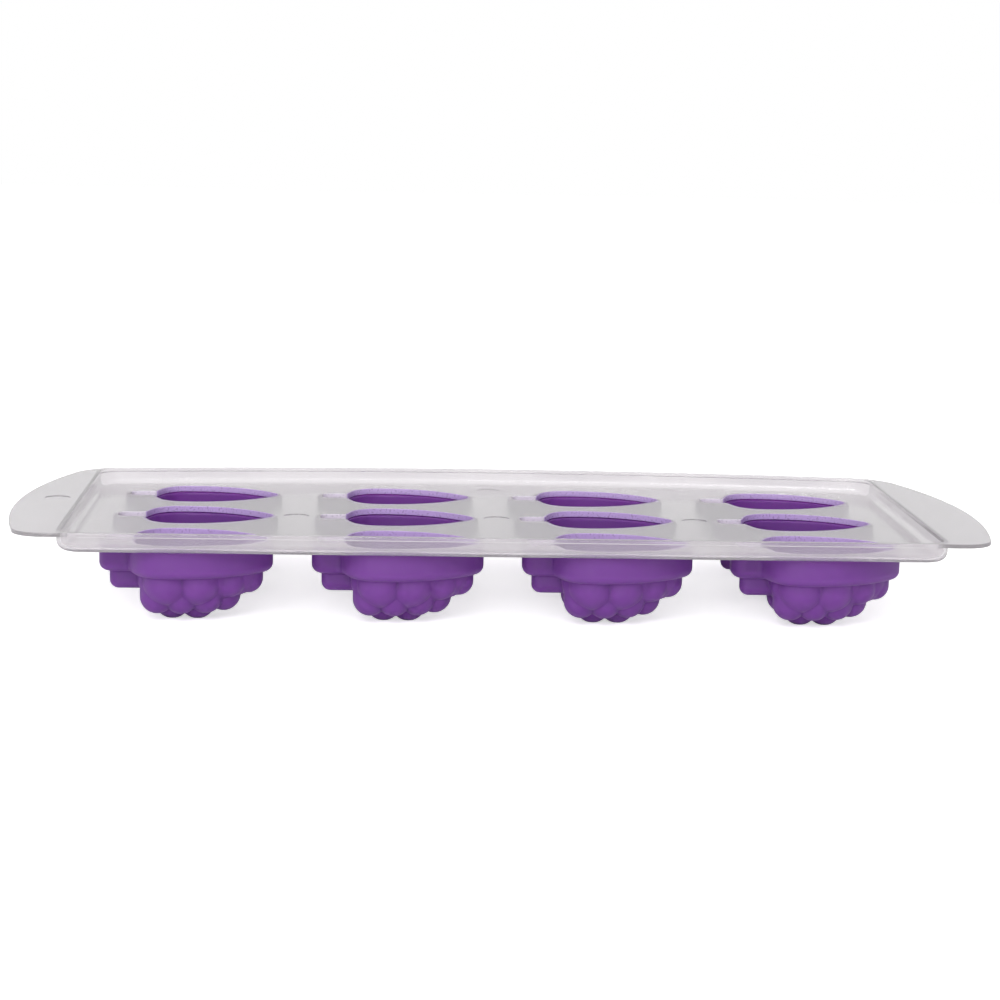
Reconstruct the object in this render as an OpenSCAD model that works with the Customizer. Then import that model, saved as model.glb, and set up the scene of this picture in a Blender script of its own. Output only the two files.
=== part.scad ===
// Ice cube mould: a clear frosted tray frame that carries twelve soft berry-shaped cups.
// X runs along the tray from the left grip tab to the right one, Y from the front edge to the
// bowed back edge, Z up. The origin is on the surface that the cups stand on, under the middle
// of the tray. Lengths are in millimetres.

/* [Tray frame] */
// Length over both grip tabs
overall_length = 284; // [276:1:300]
// Depth from the straight front edge to the crown of the back edge
overall_depth = 130; // [128:1:140]
// How far the back edge bows out over its length
back_bow = 9; // [6:0.5:11]
// Length of the basin, outside its end walls
basin_length = 250; // [246:1:258]
// Height of the basin from its underside to the top of the flange
tray_depth = 5.8; // [5:0.1:9]
// Thickness of the basin's floor
floor_wall = 1.2; // [0.9:0.1:1.8]
// Thickness of the basin's side wall
side_wall = 1.2; // [0.9:0.1:1.8]
// Thickness of the flange and the grip tabs
flange_wall = 1.2; // [0.9:0.1:1.8]
// How far the flange stands out over the long walls
flange_lip = 0.5; // [0.3:0.1:0.8]
// Outside radius of the basin's upright corners
basin_corner = 7; // [6:0.5:9]
// Radius between the side wall and the floor, inside
basin_fillet = 1.6; // [1:0.1:2.2]
// Radius of the long arc at the end of each grip tab
tab_arc = 190; // [170:5:230]
// Radius of a grip tab's two front corners
tab_front_corner = 9; // [6:0.5:12]
// Radius of a grip tab's two back corners
tab_back_corner = 16; // [12:0.5:20]
// Diameter of the round ejector marks in the tray
mark_diameter = 7.6; // [6:0.1:8.4]
// Depth of the ejector marks
mark_depth = 0.2; // [0.1:0.05:0.3]

/* [Cup layout] */
// Distance between neighbouring cups along the tray
column_pitch = 60; // [57:0.5:62]
// Distance between neighbouring rows
row_pitch = 39.2; // [37.5:0.1:40]
// Distance from the flange's front edge to the middle of the front row
front_margin = 21.4; // [20.5:0.1:22.5]

/* [Berry opening] */
// Length of an opening from the end of the stem slot to the berry's tip
opening_length = 45.8; // [43:0.1:48]
// Length of the berry alone, from its blunt end to its tip
berry_length = 38.1; // [35:0.1:39]
// Greatest width of the berry opening
berry_width = 30.5; // [28:0.1:32]
// Distance from the blunt end to the widest place
widest_from_blunt = 12.2; // [10:0.1:14]
// Radius of the berry's tip
tip_radius = 5; // [4.5:0.1:6]
// Radius of the two shoulders at the blunt end
shoulder_radius = 8.5; // [7:0.1:10]
// Radius of the blunt end between the shoulders
blunt_radius = 25; // [20:0.5:32]
// Width of the stem slot
stem_width = 7.6; // [7:0.1:9]
// Radius of the stem slot's outer corners
stem_corner = 2.6; // [2:0.1:3]

/* [Soft cup] */
// Drop from the underside of the tray to the surface that the cups stand on
cup_drop = 21.8; // [20:0.1:26]
// Wall thickness of a cup
cup_wall = 1.3; // [1:0.1:1.6]
// How far the seating band stands out beyond the opening
band_wall = 1.6; // [1.4:0.1:2.2]
// Height of the seating band under the tray
band_height = 8.1; // [7:0.1:9]
// Radius of the band's lower outside edge
band_round = 2.5; // [1.8:0.1:2.8]
// Step from the band's side in to the berry below it
band_step = 2.8; // [2.4:0.1:3.2]
// Depth of the stem trough below the band
stem_drop = 5.4; // [4:0.1:7]
// Radius of the drupelets in the top tier
top_drupelet = 4.9; // [4.5:0.1:5.2]
// Radius of the drupelets in the middle tier
middle_drupelet = 4.9; // [4.5:0.1:5.2]
// Radius of the two drupelets that the cup stands on
foot_drupelet = 5.1; // [4.8:0.1:5.4]
// Depth of the small flat under each standing drupelet
foot_flat = 0.25; // [0.15:0.05:0.4]

/* [Collar] */
// Thickness of the rigid collar that lines each opening
collar_wall = 0.8; // [0.6:0.1:1]
// How far the collar reaches down below the tray
collar_depth = 0.6; // [0.4:0.1:1.2]
// Gap between the collar and the groove in the soft cup
bond_gap = 0.05; // [0.03:0.01:0.1]

/* [Hidden] */
COLUMNS = 4;
ROWS = ["front", "middle", "back"];

// Heights above the standing surface
floor_underside = cup_drop;
floor_top = cup_drop + floor_wall;
rim_top = cup_drop + tray_depth;
band_underside = cup_drop - band_height;
stem_underside = band_underside - stem_drop;
foot_level = foot_drupelet - foot_flat;
middle_level = foot_level + 2.25;
top_level = band_underside - 2;

// The tray's edges and rows, with the bounding box centred on the origin
front_edge = -overall_depth / 2;
back_edge = overall_depth / 2;
middle_row_y = front_edge + front_margin + row_pitch;
tab_crown_y = middle_row_y - 12;
mark_pad_y = middle_row_y + 53;
tab_mark_x = -131;

// The long arc of the back edge, from its bow over the basin's length
back_radius = (pow(basin_length / 2, 2) + pow(back_bow, 2)) / (2 * back_bow);
back_centre = [0, back_edge - back_radius];

// The berry's outline: a tip, two long sides, two shoulders and a blunt end
tip_x = opening_length / 2;
blunt_x = tip_x - berry_length;
widest_x = blunt_x + widest_from_blunt;
stem_end_x = -opening_length / 2;
stem_root_x = blunt_x + 5.5;
side_run = tip_x - tip_radius - widest_x;
side_radius = (pow(side_run, 2) + pow(berry_width / 2, 2) - pow(tip_radius, 2))
    / (berry_width - 2 * tip_radius);
tip_centre = [tip_x - tip_radius, 0];
side_centre = [widest_x, berry_width / 2 - side_radius];
blunt_centre = [blunt_x + blunt_radius, 0];
shoulder_centre = inside_touch(side_centre, side_radius, blunt_centre, blunt_radius, shoulder_radius, 1);

// The berry below the band: how far its body lies outside the opening, and its smooth core
body_grow = band_wall - band_step;
groove_depth = 1.6;
core_steps = [1, 9.5, 16.5];
core_floors = [2.4, 4.2, 6.6];

// Cutters reach past a face by the slack. Where two curved faces would only touch along a line,
// one of them is a hair larger, so that they cross cleanly.
slack = 0.5;
hair = 0.01;
round_steps = 4;
step_overlap = 0.3;

function cup_name(row, column) = str("cup_", row, "_", column);
function column_x(column) = (column - (COLUMNS + 1) / 2) * column_pitch;
function row_y(row) = middle_row_y + (row - 1) * row_pitch;
function heading(v) = atan2(v.y, v.x);
function facets(radius) = radius > 60 ? 720 : 72;

// Centre of a circle that touches two larger circles from inside, on the chosen side
function inside_touch(centre_a, radius_a, centre_b, radius_b, radius, side) =
    let (
        reach_a = radius_a - radius,
        reach_b = radius_b - radius,
        gap = centre_b - centre_a,
        along = (pow(reach_a, 2) - pow(reach_b, 2) + gap * gap) / (2 * norm(gap)),
        across = sqrt(pow(reach_a, 2) - pow(along, 2)),
        forward = gap / norm(gap)
    )
    centre_a + along * forward + side * across * [-forward.y, forward.x];

// An arc is [centre, radius, start angle, end angle, kind], and a loop of arcs runs anticlockwise.
// A bend is a tight corner whose whole circle lies inside the loop. A flank is a long, flat arc.
BEND = 1;
FLANK = 2;
function arc_point(arc, angle) = arc[0] + arc[1] * [cos(angle), sin(angle)];
function grown(arcs, by) = [for (arc = arcs) [arc[0], arc[1] + by, arc[2], arc[3], arc[4]]];
function flipped_x(arc) = [[-arc[0].x, arc[0].y], arc[1], 180 - arc[3], 180 - arc[2], arc[4]];
function flipped_y(arc) = [[arc[0].x, -arc[0].y], arc[1], 360 - arc[3], 360 - arc[2], arc[4]];
function next_arc(arcs, i) = arcs[(i + 1) % len(arcs)];
function joint_gap(arcs, i) = norm(arc_point(arcs[i], arcs[i][3]) - arc_point(next_arc(arcs, i), next_arc(arcs, i)[2]));

// The core of a loop: its bend centres, each drawn in a little, so that no other edge meets them
function mean(points) = [for (i = [0, 1]) [for (p = points) p[i]] * [for (p = points) 1 / len(points)]];
function core_points(arcs) =
    let (centres = [for (arc = arcs) if (arc[4] == BEND) arc[0]], middle = mean(centres))
    [for (p = centres) p + slack * (middle - p) / norm(middle - p)];

// How near to its own centre a flank's piece starts, so that it overlaps the core
function flank_start(arcs, i) =
    let (arc = arcs[i], before = arcs[(i + len(arcs) - 1) % len(arcs)])
    (arc[1] - max(before[1], next_arc(arcs, i)[1])) * cos((arc[3] - arc[2]) / 2) - 2 * slack;

function berry_arcs() =
    let (
        tip_turn = heading(tip_centre - side_centre),
        side_turn = heading(shoulder_centre - side_centre),
        blunt_turn = heading(shoulder_centre - blunt_centre),
        side = [side_centre, side_radius, tip_turn, side_turn, FLANK],
        shoulder = [shoulder_centre, shoulder_radius, side_turn, blunt_turn, BEND]
    )
    [
        [tip_centre, tip_radius, -tip_turn, tip_turn, BEND],
        side,
        shoulder,
        [blunt_centre, blunt_radius, blunt_turn, 360 - blunt_turn, FLANK],
        flipped_y(shoulder),
        flipped_y(side)
    ];

function stem_arcs() =
    let (
        y = stem_width / 2 - stem_corner,
        left = stem_end_x + stem_corner,
        right = stem_root_x
    )
    [
        [[right, y], stem_corner, 0, 90, BEND],
        [[left, y], stem_corner, 90, 180, BEND],
        [[left, -y], stem_corner, 180, 270, BEND],
        [[right, -y], stem_corner, 270, 360, BEND]
    ];

function flange_arcs() =
    let (
        end_centre = [overall_length / 2 - tab_arc, tab_crown_y],
        back_corner = inside_touch(end_centre, tab_arc, back_centre, back_radius, tab_back_corner, 1),
        front_y = front_edge + tab_front_corner,
        front_reach = sqrt(pow(tab_arc - tab_front_corner, 2) - pow(front_y - end_centre.y, 2)),
        front_corner = [end_centre.x + front_reach, front_y],
        front_turn = heading(front_corner - end_centre),
        end_turn = heading(back_corner - end_centre),
        back_turn = heading(back_corner - back_centre),
        end = [end_centre, tab_arc, front_turn, end_turn, FLANK],
        back = [back_corner, tab_back_corner, end_turn, back_turn, BEND],
        front = [front_corner, tab_front_corner, -90, front_turn, BEND]
    )
    [
        end,
        back,
        [back_centre, back_radius, back_turn, 180 - back_turn, FLANK],
        flipped_x(back),
        flipped_x(end),
        flipped_x(front),
        front
    ];

function basin_arcs() =
    let (
        wall_radius = back_radius - flange_lip,
        x = basin_length / 2 - basin_corner,
        back_y = back_centre.y + sqrt(pow(wall_radius - basin_corner, 2) - pow(x, 2)),
        back_turn = heading([x, back_y] - back_centre),
        front = [[x, front_edge + flange_lip + basin_corner], basin_corner, -90, 0, BEND],
        back = [[x, back_y], basin_corner, 0, back_turn, BEND]
    )
    [
        front,
        back,
        [back_centre, wall_radius, back_turn, 180 - back_turn, FLANK],
        flipped_x(back),
        flipped_x(front)
    ];

// Drupelet centres as [x, y, height, radius]. A place on the berry is an angle about the centre
// of its long side and a depth inside the body's outline.
function side_place(angle, inset) = arc_point([side_centre, side_radius + body_grow - inset], angle);
function blunt_place(angle, inset) = arc_point([blunt_centre, blunt_radius + body_grow - inset], angle);
function drupelet(place, level, radius) = [place.x, place.y, level, radius];
function both_sides(list) = [for (d = list) each [d, [d[0], -d[1], d[2], d[3]]]];
function top_tier() = concat(
    [drupelet([tip_x + body_grow - 4.3, 0], top_level, 4.3)],
    both_sides(concat(
        [for (angle = [53.5, 74, 95]) drupelet(side_place(angle, top_drupelet), top_level, top_drupelet)],
        [drupelet(blunt_place(164.5, top_drupelet), top_level, top_drupelet)]
    ))
);
function middle_tier() = concat(
    [drupelet([tip_x - 12.4, 0], middle_level, middle_drupelet)],
    both_sides([for (angle = [67, 85, 102.5]) drupelet(side_place(angle, 8), middle_level, middle_drupelet)])
);
function foot_tier() = [for (step = [-0.9, 6.2]) drupelet([widest_x + step, 0], foot_level, foot_drupelet)];
function core_radius(x) = side_centre.y + sqrt(pow(side_radius, 2) - pow(x - side_centre.x, 2))
    + body_grow - groove_depth;
function core() = [
    for (i = [0:2])
        let (x = widest_x + core_steps[i], radius = core_radius(x))
        drupelet([x, 0], core_floors[i] + radius, radius)
];

// The sector between a flank's two end radii, from its start to past its outer face
module flank_sector(arc, start) {
    reach = (arc[1] + slack) / cos((arc[3] - arc[2]) / 2);
    polygon([
        start * [cos(arc[2]), sin(arc[2])],
        reach * [cos(arc[2]), sin(arc[2])],
        reach * [cos(arc[3]), sin(arc[3])],
        start * [cos(arc[3]), sin(arc[3])]
    ]);
}

// A flat outline from a closed loop of arcs
module outline(arcs) {
    polygon(core_points(arcs));
    for (i = [0:len(arcs) - 1]) {
        arc = arcs[i];
        depth = arc[1] + 2 * slack;
        translate(arc[0])
            if (arc[4] == BEND)
                circle(r = arc[1] + hair, $fn = facets(arc[1]));
            else
                intersection() {
                    circle(r = arc[1], $fn = facets(arc[1]));
                    flank_sector(arc, flank_start(arcs, i));
                }
        if (joint_gap(arcs, i) > 0.001)
            translate(arc_point([next_arc(arcs, i)[0], arc[1] - depth], arc[3]))
                rotate(arc[3] - 90)
                    square([joint_gap(arcs, i), depth]);
    }
}

// A slab with upright sides on loops of arcs, its lower edge rounded in steps all the way round
module rounded_slab(loops, bottom, top, round) {
    for (k = [0:round_steps - 1]) {
        angle = 90 * k / round_steps;
        from = k == round_steps - 1 ? 0 : round * (1 - sin(angle + 45 / round_steps));
        to = k == 0 ? top - bottom : round * (1 - sin(angle - 45 / round_steps)) + step_overlap;
        translate([0, 0, bottom + from])
            linear_extrude(to - from)
                for (arcs = loops)
                    outline(grown(arcs, round * (cos(angle) - 1)));
    }
}

function opening_loops(by) = [grown(berry_arcs(), by), grown(stem_arcs(), by)];

module opening_outline(by) {
    for (arcs = opening_loops(by))
        outline(arcs);
}

// Half section of an upright rod with a ball end
module ball_section(level, radius, top) {
    intersection() {
        translate([0, level - radius - slack])
            square([radius, top - level + radius + slack]);
        union() {
            translate([0, level])
                circle(r = radius + hair, $fn = 64);
            translate([-slack, level])
                square([radius + 2 * slack, top - level + slack]);
        }
    }
}

module ball_end(d, grow, top) {
    translate([d[0], d[1], 0])
        rotate_extrude($fn = 64)
            ball_section(d[2], d[3] + grow, top);
}

// The stem trough: a channel with a round bottom and a ball end
module stem_trough(grow, top) {
    half_width = stem_width / 2 + body_grow + grow;
    level = stem_underside + stem_width / 2 + body_grow;
    end_x = stem_end_x + stem_width / 2;
    translate([end_x, 0, 0])
        rotate(90)
            rotate_extrude(angle = 180, $fn = 64)
                ball_section(level, half_width, top);
    translate([end_x, 0, 0])
        rotate([90, 0, 90])
            linear_extrude(stem_root_x - end_x) {
                ball_section(level, half_width, top);
                mirror([1, 0])
                    ball_section(level, half_width, top);
            }
}

// Everything of the berry below the band, outside at grow 0 and inside at grow -cup_wall
module berry_body(grow, top) {
    for (d = concat(core(), top_tier(), middle_tier(), foot_tier()))
        ball_end(d, grow, top);
    stem_trough(grow, top);
}

// One soft cup, standing under its own opening
module cup(column, row) {
    ledge = band_underside + cup_wall;
    color([0.47, 0.29, 0.59])
        translate([column_x(column), row_y(row), 0])
            difference() {
                union() {
                    rounded_slab(opening_loops(band_wall), band_underside, floor_underside, band_round);
                    berry_body(0, band_underside + cup_wall / 2);
                }
                rounded_slab(opening_loops(0), ledge, floor_underside + slack, band_round - cup_wall);
                berry_body(-cup_wall, ledge + slack);
                translate([0, 0, floor_underside - collar_depth - bond_gap])
                    linear_extrude(collar_depth + bond_gap + slack)
                        opening_outline(collar_wall + bond_gap);
                translate([-overall_depth / 2, -overall_depth / 2, -overall_depth])
                    cube(overall_depth);
            }
}

module at_each_opening() {
    for (row = [0:len(ROWS) - 1])
        for (column = [1:COLUMNS])
            translate([column_x(column), row_y(row), 0])
                children();
}

module ejector_mark(x, y, surface) {
    translate([x, y, surface - mark_depth])
        cylinder(d = mark_diameter, h = mark_depth + slack, $fn = 48);
}

// The rigid tray frame with its flange, grip tabs, openings and collars
module tray() {
    color([0.87, 0.86, 0.88])
        difference() {
            union() {
                translate([0, 0, rim_top - flange_wall])
                    linear_extrude(flange_wall)
                        outline(flange_arcs());
                rounded_slab([basin_arcs()], floor_underside, rim_top - flange_wall / 2, basin_fillet + side_wall);
                at_each_opening()
                    translate([0, 0, floor_underside - collar_depth])
                        linear_extrude(collar_depth + floor_wall / 2)
                            opening_outline(collar_wall);
            }
            rounded_slab([grown(basin_arcs(), -side_wall)], floor_top, rim_top + slack, basin_fillet);
            at_each_opening()
                translate([0, 0, floor_underside - collar_depth - slack])
                    linear_extrude(collar_depth + floor_wall + 2 * slack)
                        opening_outline(0);
            for (step = [-1:1])
                ejector_mark(step * column_pitch, middle_row_y, floor_top);
            ejector_mark(0, mark_pad_y, floor_top);
            ejector_mark(tab_mark_x, middle_row_y, rim_top);
        }
}

tray();
for (row = [0:len(ROWS) - 1])
    for (column = [1:COLUMNS])
        cup(column, row);
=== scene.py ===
"""Looks of the ice cube mould: a frosted tray frame that carries soft berry-shaped cups.

Both kinds of piece are built here with their true round edges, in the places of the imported
solids. The script adds the floor and the light and sets the camera at the photograph's angle.
Sizes of the mould are in millimetres up to the finished mesh, which is in metres.
"""

import logging
import math
from dataclasses import dataclass, field
from enum import Enum

import bmesh
import bpy
import numpy as np
from mathutils import Matrix, Vector
from mathutils.geometry import delaunay_2d_cdt


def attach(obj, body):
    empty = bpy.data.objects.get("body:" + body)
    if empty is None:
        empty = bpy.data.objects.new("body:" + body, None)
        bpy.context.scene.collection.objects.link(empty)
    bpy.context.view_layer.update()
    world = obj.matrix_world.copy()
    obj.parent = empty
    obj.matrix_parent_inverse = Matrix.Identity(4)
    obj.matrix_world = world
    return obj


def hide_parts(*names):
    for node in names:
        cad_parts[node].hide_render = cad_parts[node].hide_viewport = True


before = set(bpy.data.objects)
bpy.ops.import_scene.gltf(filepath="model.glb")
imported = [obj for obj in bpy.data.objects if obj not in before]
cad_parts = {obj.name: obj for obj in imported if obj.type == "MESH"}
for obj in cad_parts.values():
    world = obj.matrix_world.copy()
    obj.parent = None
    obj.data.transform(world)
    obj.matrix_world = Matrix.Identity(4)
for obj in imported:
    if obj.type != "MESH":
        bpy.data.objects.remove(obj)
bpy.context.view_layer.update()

log = logging.getLogger("ice_cube_mould")
Colour = tuple[float, float, float]
Point = tuple[float, float]
MM = 0.001
UP = 90.0
DOWN = -90.0


class Slot(Enum):
    """Material slots that the record names."""

    TRAY = "tray_plastic"
    CUP = "cup_rubber"


@dataclass(frozen=True)
class Arc:
    """One arc of an outline. A hollow arc curves into the outline and runs clockwise."""

    centre: Point
    radius: float
    start: float
    end: float
    hollow: bool = False

    def ring(self, grow: float, sag: float) -> tuple[np.ndarray, np.ndarray]:
        """Samples the arc.

        Args:
            grow: How far the outline is grown.
            sag: How far a chord may lie off the arc.

        Returns:
            The points and the outward directions.
        """
        side = -1.0 if self.hollow else 1.0
        step = 2.0 * math.degrees(math.acos(1.0 - sag / self.radius))
        count = max(3, math.ceil(abs(self.end - self.start) / step) + 1)
        turn = np.radians(np.linspace(self.start, self.end, count))
        ray = np.stack([np.cos(turn), np.sin(turn)], axis=1)
        return np.array(self.centre) + (self.radius + side * grow) * ray, side * ray


def flipped_x(arc: Arc) -> Arc:
    """Mirrors an arc left to right."""
    return Arc((-arc.centre[0], arc.centre[1]), arc.radius, 180 - arc.end, 180 - arc.start, arc.hollow)


def flipped_y(arc: Arc) -> Arc:
    """Mirrors an arc front to back."""
    return Arc((arc.centre[0], -arc.centre[1]), arc.radius, 360 - arc.end, 360 - arc.start, arc.hollow)


def heading(start: Point, end: Point) -> float:
    """Gives the direction from one point to another in degrees."""
    return math.degrees(math.atan2(end[1] - start[1], end[0] - start[0]))


def inside_touch(a: Point, radius_a: float, b: Point, radius_b: float, radius: float) -> Point:
    """Finds the centre of a circle that touches two larger circles from inside.

    Args:
        a: Centre of the first large circle.
        radius_a: Its radius.
        b: Centre of the second large circle.
        radius_b: Its radius.
        radius: Radius of the small circle.

    Returns:
        The centre, on the left of the line from a to b.
    """
    reach_a, reach_b = radius_a - radius, radius_b - radius
    gap = math.dist(a, b)
    along = (reach_a**2 - reach_b**2 + gap**2) / (2.0 * gap)
    across = math.sqrt(reach_a**2 - along**2)
    ahead = ((b[0] - a[0]) / gap, (b[1] - a[1]) / gap)
    return (a[0] + along * ahead[0] - across * ahead[1], a[1] + along * ahead[1] + across * ahead[0])


@dataclass(frozen=True)
class Loop:
    """A closed outline of touching arcs, run anticlockwise, that can be grown or shrunk."""

    arcs: tuple[Arc, ...]
    place: Point = (0.0, 0.0)
    sag: float = 0.006

    def ring(self, grow: float) -> tuple[np.ndarray, np.ndarray]:
        """Samples the outline; every growth has the same number of points.

        Args:
            grow: How far the outline is grown.

        Returns:
            The points and the outward directions.
        """
        base = np.concatenate([arc.ring(0.0, self.sag)[0] for arc in self.arcs])
        kept = np.linalg.norm(base - np.roll(base, -1, axis=0), axis=1) > 0.001
        points, rays = zip(*(arc.ring(grow, self.sag) for arc in self.arcs))
        return np.concatenate(points)[kept] + np.array(self.place), np.concatenate(rays)[kept]


@dataclass(frozen=True)
class MouldSizes:
    """The mould's own sizes and the outlines that follow from them."""

    overall_length: float = 284.0
    overall_depth: float = 130.0
    back_bow: float = 9.0
    basin_length: float = 250.0
    flange_lip: float = 0.5
    basin_corner: float = 7.0
    tab_arc: float = 190.0
    tab_front_corner: float = 9.0
    tab_back_corner: float = 16.0
    tab_crown: float = -16.4
    row_ys: tuple[float, ...] = (-43.6, -4.4, 34.8)
    column_xs: tuple[float, ...] = (-90.0, -30.0, 30.0, 90.0)
    tip_x: float = 22.9
    blunt_x: float = -15.2
    widest_x: float = -3.0
    stem_root_x: float = -9.7
    stem_end_x: float = -22.9
    berry_width: float = 30.5
    tip_radius: float = 5.0
    shoulder_radius: float = 8.5
    blunt_radius: float = 25.0
    stem_width: float = 7.6
    stem_corner: float = 2.6
    stem_notch: float = 1.6
    floor_underside: float = 21.8
    floor_top: float = 23.0
    flange_underside: float = 26.4
    rim_top: float = 27.6
    side_wall: float = 1.2
    basin_fillet: float = 1.6

    @property
    def side_radius(self) -> float:
        """Works out the radius of the berry's long sides.

        Returns:
            The radius that touches the tip's arc and gives the berry its width.
        """
        run = self.tip_x - self.tip_radius - self.widest_x
        half = self.berry_width / 2
        return (run**2 + half**2 - self.tip_radius**2) / (2 * half - 2 * self.tip_radius)

    @property
    def side_centre(self) -> Point:
        """Centre of the long side at the back."""
        return (self.widest_x, self.berry_width / 2 - self.side_radius)

    @property
    def blunt_centre(self) -> Point:
        """Centre of the blunt end's arc."""
        return (self.blunt_x + self.blunt_radius, 0.0)

    def berry_half(self) -> tuple[Arc, Arc, Arc, float]:
        """Gives the arcs of the berry's back half.

        Returns:
            The tip, the long side, the shoulder and the angle where the blunt end starts.
        """
        tip_centre = (self.tip_x - self.tip_radius, 0.0)
        side, blunt = (self.side_centre, self.side_radius), (self.blunt_centre, self.blunt_radius)
        shoulder_centre = inside_touch(*side, *blunt, self.shoulder_radius)
        tip_turn = heading(self.side_centre, tip_centre)
        side_turn = heading(self.side_centre, shoulder_centre)
        blunt_turn = heading(self.blunt_centre, shoulder_centre)
        tip = Arc(tip_centre, self.tip_radius, 0.0, tip_turn)
        side = Arc(self.side_centre, self.side_radius, tip_turn, side_turn)
        shoulder = Arc(shoulder_centre, self.shoulder_radius, side_turn, blunt_turn)
        return tip, side, shoulder, blunt_turn

    def opening(self, place: Point) -> Loop:
        """Gives the outline of an opening: the berry with its stem slot.

        Args:
            place: Middle of the opening on the tray.

        Returns:
            The loop.
        """
        tip, side, shoulder, blunt_turn = self.berry_half()
        notch_y = self.stem_width / 2 + self.stem_notch
        reach = self.blunt_radius + self.stem_notch
        notch = (self.blunt_centre[0] - math.sqrt(reach**2 - notch_y**2), notch_y)
        half = (
            Arc(tip.centre, tip.radius, 0.0, tip.end),
            side,
            shoulder,
            Arc(self.blunt_centre, self.blunt_radius, blunt_turn, heading(self.blunt_centre, notch)),
            Arc(notch, self.stem_notch, heading(notch, self.blunt_centre), -90.0, hollow=True),
            Arc(
                (self.stem_end_x + self.stem_corner, self.stem_width / 2 - self.stem_corner),
                self.stem_corner,
                90.0,
                180.0,
            ),
        )
        return Loop(half + tuple(flipped_y(arc) for arc in reversed(half)), place)

    @property
    def back_radius(self) -> float:
        """Radius of the bowed back edge."""
        return ((self.basin_length / 2) ** 2 + self.back_bow**2) / (2 * self.back_bow)

    @property
    def back_centre(self) -> Point:
        """Centre of the bowed back edge."""
        return (0.0, self.overall_depth / 2 - self.back_radius)

    def flange(self) -> Loop:
        """Gives the outer edge of the flange with its grip tabs.

        Returns:
            The loop.
        """
        end_centre = (self.overall_length / 2 - self.tab_arc, self.tab_crown)
        back_corner = inside_touch(
            end_centre, self.tab_arc, self.back_centre, self.back_radius, self.tab_back_corner
        )
        front_y = self.tab_front_corner - self.overall_depth / 2
        reach = math.sqrt((self.tab_arc - self.tab_front_corner) ** 2 - (front_y - end_centre[1]) ** 2)
        front_corner = (end_centre[0] + reach, front_y)
        front_turn = heading(end_centre, front_corner)
        end_turn = heading(end_centre, back_corner)
        back_turn = heading(self.back_centre, back_corner)
        end = Arc(end_centre, self.tab_arc, front_turn, end_turn)
        back = Arc(back_corner, self.tab_back_corner, end_turn, back_turn)
        front = Arc(front_corner, self.tab_front_corner, -90.0, front_turn)
        bow = Arc(self.back_centre, self.back_radius, back_turn, 180 - back_turn)
        return Loop((front, end, back, bow, flipped_x(back), flipped_x(end), flipped_x(front)))

    def basin(self) -> Loop:
        """Gives the outer face of the basin's wall.

        Returns:
            The loop.
        """
        wall_radius = self.back_radius - self.flange_lip
        x = self.basin_length / 2 - self.basin_corner
        y = self.back_centre[1] + math.sqrt((wall_radius - self.basin_corner) ** 2 - x**2)
        back_turn = heading(self.back_centre, (x, y))
        front_y = self.flange_lip + self.basin_corner - self.overall_depth / 2
        front = Arc((x, front_y), self.basin_corner, -90.0, 0.0)
        back = Arc((x, y), self.basin_corner, 0.0, back_turn)
        bow = Arc(self.back_centre, wall_radius, back_turn, 180 - back_turn)
        return Loop((front, back, bow, flipped_x(back), flipped_x(front)))


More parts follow.
